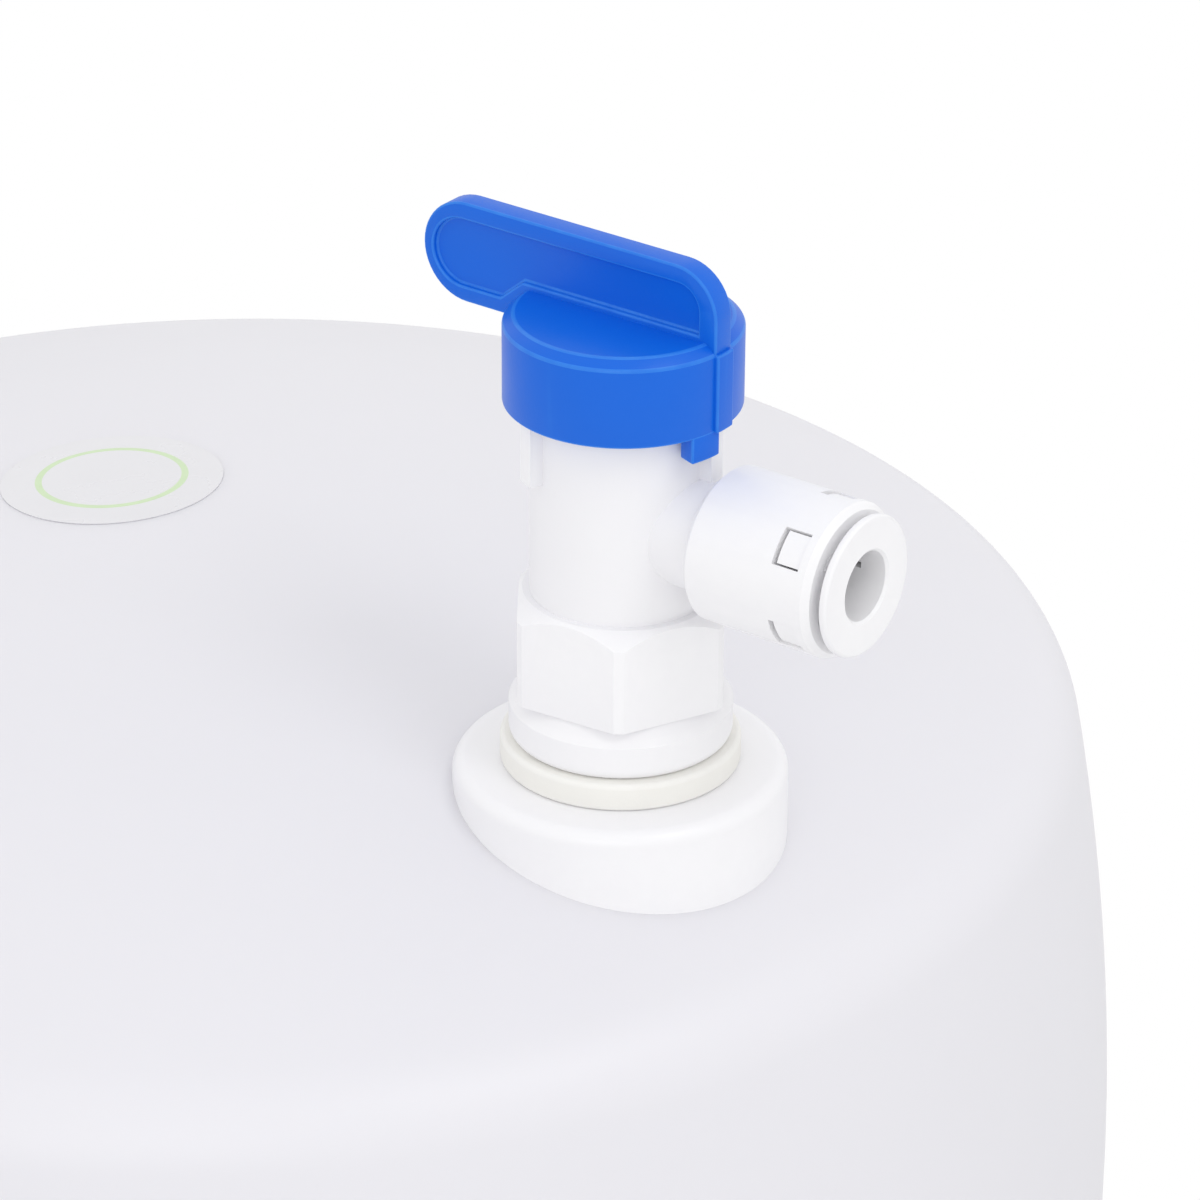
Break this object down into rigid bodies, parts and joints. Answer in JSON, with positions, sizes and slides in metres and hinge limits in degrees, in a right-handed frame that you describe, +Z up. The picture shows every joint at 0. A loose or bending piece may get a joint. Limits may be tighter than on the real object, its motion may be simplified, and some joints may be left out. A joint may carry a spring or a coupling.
{
  "type": "pressurized water tank",
  "caption": "Small pressurized water tank: welded plastic shells round a rubber diaphragm on a ring stand, with a quarter-turn ball valve and push-in tube outlet.",
  "frame": {"origin": "on the tank's axis, on the floor that its stand rests on", "axes": "+Z up along the tank's axis, +X the way the valve's outlet points"},
  "size_m": [0.188, 0.188, 0.2741],
  "materials": {
    "tank_plastic": "translucent white moulded plastic, faint satin",
    "stand_plastic": "white moulded plastic, fine satin grain",
    "valve_plastic": "white acetal, semi-gloss",
    "stem_plastic": "white acetal, smooth",
    "seat_plastic": "white fluoropolymer, waxy",
    "blue_plastic": "bright blue moulded plastic",
    "washer_rubber": "cream rubber",
    "black_rubber": "black butyl rubber",
    "clamp_plastic": "white moulded plastic",
    "label_film": "clear film with a pale green ring",
    "brass": "turned brass",
    "steel": "stamped stainless steel",
    "cap_plastic": "black moulded plastic"
  },
  "bodies": {
    "tank": {"upper_shell": "tank_plastic", "lower_shell": "tank_plastic", "diaphragm": "black_rubber", "clamp_ring": "clamp_plastic", "base_stand": "stand_plastic", "port_fitting": "valve_plastic", "port_washer": "washer_rubber", "round_label": "label_film", "valve_body": "valve_plastic", "inlet_seat": "seat_plastic", "outlet_seat": "seat_plastic", "stem_guide": "valve_plastic", "outlet_cartridge": "valve_plastic", "grab_ring": "steel", "tube_ring": "black_rubber", "air_grommet": "black_rubber", "air_valve_stem": "brass", "air_washer": "steel", "air_nut": "brass", "valve_core": "brass", "core_spring": "steel"},
    "lever": {"handle": "blue_plastic", "valve_stem": "stem_plastic", "valve_ball": "stem_plastic", "upper_stem_ring": "black_rubber", "lower_stem_ring": "black_rubber"},
    "collet": {"release_collet": "valve_plastic"},
    "air_pin": {"core_pin": "brass"},
    "air_cap": {"air_valve_cap": "cap_plastic"}
  },
  "joints": [
    {"name": "handle_turn", "type": "hinge", "parent": "tank", "child": "lever", "pos_m": [0.0587, -0.0107, 0.25886], "axis": [0, 0, 1], "range_deg": [-90, 0]},
    {"name": "collet_push", "type": "slide", "parent": "tank", "child": "collet", "axis": [-1, 0, 0], "range_m": [0, 0.0008]},
    {"name": "core_pin_press", "type": "slide", "parent": "tank", "child": "air_pin", "axis": [0, 0, 1], "range_m": [0, 0.0015], "stiffness_N_per_m": 1500, "springref_m": -0.0005, "deforming": ["core_spring"]},
    {"name": "air_cap_pull", "type": "slide", "parent": "tank", "child": "air_cap", "axis": [0, 0, -1], "range_m": [0, 0.0073]}
  ]
}
